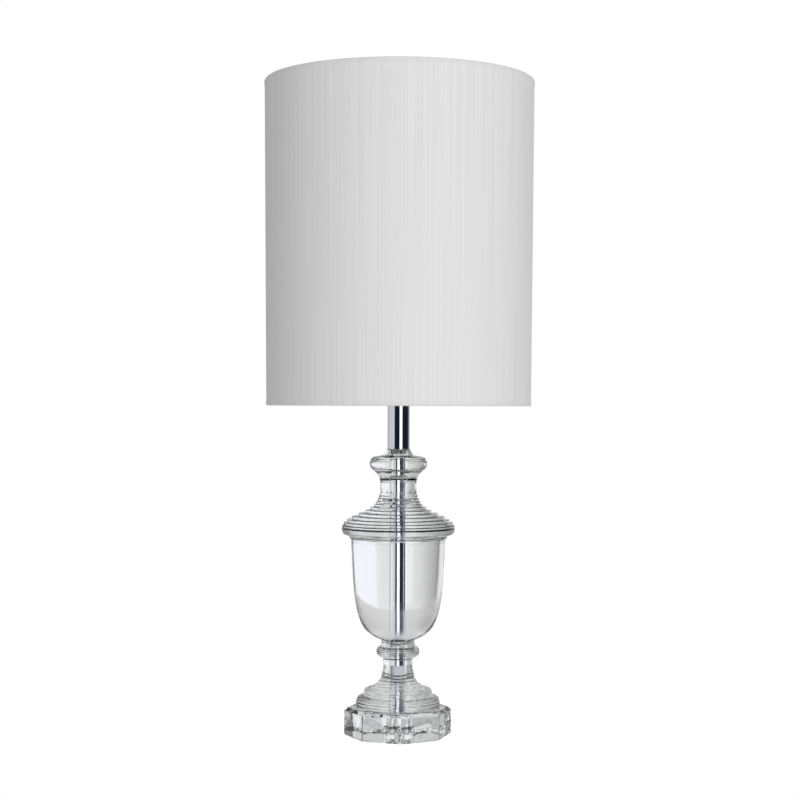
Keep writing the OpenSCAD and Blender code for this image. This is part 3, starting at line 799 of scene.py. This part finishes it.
# Shade: slub cloth laminated on a white liner and rolled over a wire ring at each edge. The cloth
# has uneven upright threads and meets itself in one glued lap at the back.
SHADE_STEPS = 192
CLOTH_T = 0.5 * MM


def slub_cloth(name, light, dark):
    """Slub weave: upright threads of uneven thickness over a fine flat weft, in cloth metres."""
    cloth = bpy.data.materials.new(name)
    cloth.use_nodes = True
    add, join = node_tools(cloth.node_tree)
    shader = cloth.node_tree.nodes["Principled BSDF"]
    place = add("ShaderNodeUVMap", uv_map="cloth")

    def threads(across, along, detail):
        stretch = add("ShaderNodeMapping")
        stretch.inputs["Scale"].default_value = (1 / across, 1 / along, 1)
        join(place.outputs[0], stretch.inputs["Vector"])
        noise = add("ShaderNodeTexNoise")
        noise.inputs["Scale"].default_value = 1
        noise.inputs["Detail"].default_value = detail
        noise.inputs["Roughness"].default_value = 0.6
        join(stretch.outputs[0], noise.inputs["Vector"])
        return noise.outputs["Fac"]

    def blend(first, second, share):
        mix = add("ShaderNodeMix", data_type="FLOAT")
        mix.inputs["Factor"].default_value = share
        join(first, mix.inputs["A"])
        join(second, mix.inputs["B"])
        return mix.outputs["Result"]

    warp = threads(0.0011, 0.5, 2)
    slubs = threads(0.002, 0.25, 1)
    weft = threads(0.03, 0.0007, 1)
    height = blend(blend(warp, slubs, 0.25), weft, 0.08)
    tone = add("ShaderNodeValToRGB")
    ramp_stops(tone.color_ramp, [(0.33, dark), (0.5, light), (0.68, [min(1, c * 1.05) for c in light])])
    join(height, tone.inputs[0])
    join(tone.outputs[0], shader.inputs["Base Color"])
    rough = add("ShaderNodeMapRange")
    rough.inputs["To Min"].default_value = 0.75
    rough.inputs["To Max"].default_value = 0.95
    join(height, rough.inputs["Value"])
    join(rough.outputs[0], shader.inputs["Roughness"])
    bump = add("ShaderNodeBump")
    bump.inputs["Strength"].default_value = 0.5
    bump.inputs["Distance"].default_value = 0.0005
    join(height, bump.inputs["Height"])
    join(bump.outputs[0], shader.inputs["Normal"])
    shader.inputs["Sheen Weight"].default_value = 0.25
    shader.inputs["Sheen Roughness"].default_value = 0.5
    shader.inputs["Specular IOR Level"].default_value = 0.2
    return cloth


def lay_cloth_map(piece, radius):
    """Unrolls a round piece into a cloth map in metres, across by bearing and up by height."""
    mesh = piece.data
    layer = mesh.uv_layers.new(name="cloth")
    for face in mesh.polygons:
        middle = math.atan2(face.center.x, -face.center.y)
        for loop in face.loop_indices:
            corner = mesh.vertices[mesh.loops[loop].vertex_index].co
            bearing = math.atan2(corner.x, -corner.y)
            if bearing - middle > math.pi:
                bearing -= 2 * math.pi
            elif bearing - middle < -math.pi:
                bearing += 2 * math.pi
            layer.data[loop].uv = (bearing * radius, corner.z)


cloth = slub_cloth("slub_cloth", (0.80, 0.80, 0.805), (0.735, 0.735, 0.742))
low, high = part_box("shade_fabric")
top_r, bottom_r = high.x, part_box("bottom_hem")[1].x - 0.4 * MM
bpy.ops.object.select_all(action="DESELECT")
bpy.ops.mesh.primitive_cylinder_add(vertices=SHADE_STEPS, radius=bottom_r, depth=high.z - low.z,
                                    end_fill_type="NOTHING", location=(0, 0, (low.z + high.z) / 2))
fabric = settle(bpy.context.object)
fabric.name = "shade_cloth"
pick(fabric, "VERT", lambda co: co.z > (low.z + high.z) / 2)
bpy.ops.transform.resize(value=(top_r / bottom_r, top_r / bottom_r, 1),
                         center_override=(0, 0, high.z))
bpy.ops.object.mode_set(mode="OBJECT")
bpy.context.tool_settings.mesh_select_mode = (False, True, False)
pick(fabric, "EDGE", lambda a, b: abs(a.z - b.z) > 0.1)
bpy.ops.mesh.subdivide(number_cuts=24)
bpy.ops.object.mode_set(mode="OBJECT")
apply_modifier(fabric, "SOLIDIFY", thickness=CLOTH_T, offset=-1)
bpy.ops.object.shade_smooth_by_angle(angle=math.radians(40))
lay_cloth_map(fabric, top_r)
dress(fabric, cloth, "shade", "fabric", "shade_fabric")


# Lap: the end of the cloth, glued down over its start at the back of the shade. It is a narrow strip of
# the same cloth and stands out by its own thickness.
LAP_W = 12 * MM
LAP_T = 0.45 * MM
LAP_STEPS = 24
lap_turn = LAP_W / top_r
lap_start = math.radians(90) - lap_turn / 2
lap_line = []
for i in range(LAP_STEPS + 1):
    r = bottom_r + (top_r - bottom_r) * i / LAP_STEPS
    lap_line.append((r * math.cos(lap_start), r * math.sin(lap_start),
                     low.z + (high.z - low.z) * i / LAP_STEPS))
lap = draw_line("shade_lap", lap_line)
bpy.ops.mesh.spin(steps=8, angle=lap_turn, center=(0, 0, 0), axis=(0, 0, 1))
settle(lap, 40)
outward = lap.data.polygons[0].normal.dot(lap.data.polygons[0].center) > 0
apply_modifier(lap, "SOLIDIFY", thickness=LAP_T, offset=1 if outward else -1)
apply_modifier(lap, "BEVEL", width=0.15 * MM, segments=2, limit_method="ANGLE",
               angle_limit=math.radians(50))
bpy.ops.object.shade_smooth_by_angle(angle=math.radians(40))
lay_cloth_map(lap, top_r)
dress(lap, cloth, "shade", "fabric")


# Hems: the cloth rolled round the wire ring at each edge of the shade and stuck down inside, so that a
# soft bead shows along each edge.
# The hems use the shade's own slub cloth painted a little darker: painted shade along the rolled edges,
# not a different cloth.
shaded_hem_cloth = slub_cloth("shaded_hem_cloth", (0.78, 0.78, 0.785), (0.71, 0.71, 0.718))


def hem(name, node, edge_r, edge_z, up):
    """A rolled edge with a soft bead outside, seen in section from the bead round to the inside."""
    bead = 1.9 * MM
    inside = edge_r - 5.2 * MM
    outline = [(r, edge_z + up * h) for r, h in
               [(edge_r - 0.1 * MM, 5 * MM), (edge_r + 0.3 * MM, 4.5 * MM), (edge_r + 0.4 * MM, 3.4 * MM)]
               + [(edge_r + 0.4 * MM - bead + bead * math.cos(a), bead - bead * math.sin(a))
                  for a in (math.radians(15 * k) for k in range(0, 7))]
               + [(inside + bead - bead * math.sin(a), bead - bead * math.cos(a))
                  for a in (math.radians(15 * k) for k in range(0, 7))]
               + [(inside, 5 * MM), (inside + 0.4 * MM, 5 * MM), (inside + 0.7 * MM, bead),
                  (edge_r - bead, 0.8 * MM), (edge_r - 0.1 * MM, bead)]]
    piece = turned(name, outline, SHADE_STEPS)
    lay_cloth_map(piece, top_r)
    return dress(piece, shaded_hem_cloth, "shade", "hem_fabric", node)


bottom_hem = hem("bottom_hem_roll", "bottom_hem", bottom_r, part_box("bottom_hem")[0].z, 1)
top_hem = hem("top_hem_roll", "top_hem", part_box("top_hem")[1].x - 0.4 * MM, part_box("top_hem")[1].z, -1)
